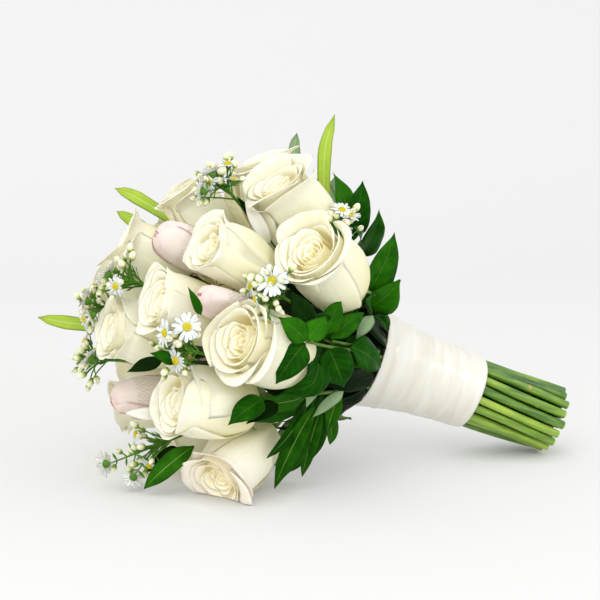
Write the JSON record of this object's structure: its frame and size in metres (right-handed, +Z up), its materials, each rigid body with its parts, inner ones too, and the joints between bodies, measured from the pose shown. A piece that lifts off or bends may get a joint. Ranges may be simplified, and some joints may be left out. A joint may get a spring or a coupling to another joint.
{
  "type": "rose bouquet",
  "caption": "Hand-tied bouquet of white roses, blush buds, small asters and glossy leaves, lying on its side, with a satin-wrapped handle of cut stems.",
  "frame": {"origin": "centre of the bounding box on the surface that the bouquet lies on", "axes": "+X towards the cut ends of the stems, which is the longest way; +Z up; the shown side faces -Y"},
  "size_m": [0.3818, 0.2509, 0.2501],
  "materials": {
    "rose_petals": "soft matt, creamy white",
    "blush_petals": "soft matt, pale blush",
    "stems": "semi-gloss green",
    "aster_sprays": "matt white",
    "glossy_leaves": "glossy dark green",
    "grass_blades": "semi-gloss lime green",
    "floral_tape": "matt green",
    "satin": "satin, soft white"
  },
  "bodies": {
    "root": {"rose_01": "rose_petals", "rose_02": "rose_petals", "rose_03": "rose_petals", "rose_04": "rose_petals", "rose_05": "rose_petals", "rose_06": "rose_petals", "rose_07": "rose_petals", "rose_08": "rose_petals", "rose_09": "rose_petals", "rose_10": "rose_petals", "rose_11": "rose_petals", "rose_12": "rose_petals", "rose_13": "rose_petals", "rose_14": "rose_petals", "rose_15": "rose_petals", "rose_16": "rose_petals", "rose_17": "rose_petals", "rose_18": "rose_petals", "rose_19": "rose_petals", "rose_20": "rose_petals", "rose_21": "rose_petals", "blush_bud_1": "blush_petals", "blush_bud_2": "blush_petals", "blush_bud_3": "blush_petals", "blush_bud_4": "blush_petals", "blush_bud_5": "blush_petals", "blush_bud_6": "blush_petals", "stems_1": "stems", "stems_2": "stems", "stems_3": "stems", "stems_4": "stems", "stems_5": "stems", "stems_6": "stems", "aster_spray_01": "aster_sprays", "aster_spray_02": "aster_sprays", "aster_spray_03": "aster_sprays", "aster_spray_04": "aster_sprays", "aster_spray_05": "aster_sprays", "aster_spray_06": "aster_sprays", "aster_spray_07": "aster_sprays", "aster_spray_08": "aster_sprays", "aster_spray_09": "aster_sprays", "aster_spray_10": "aster_sprays", "leaf_sprig_01": "glossy_leaves", "leaf_sprig_02": "glossy_leaves", "leaf_sprig_03": "glossy_leaves", "leaf_sprig_04": "glossy_leaves", "leaf_sprig_05": "glossy_leaves", "leaf_sprig_06": "glossy_leaves", "leaf_sprig_07": "glossy_leaves", "leaf_sprig_08": "glossy_leaves", "leaf_sprig_09": "glossy_leaves", "leaf_sprig_10": "glossy_leaves", "grass_blade_1": "grass_blades", "grass_blade_2": "grass_blades", "grass_blade_3": "grass_blades", "grass_blade_4": "grass_blades", "grass_blade_5": "grass_blades", "floral_tape": "floral_tape", "satin_wrap": "satin"}
  },
  "joints": []
}
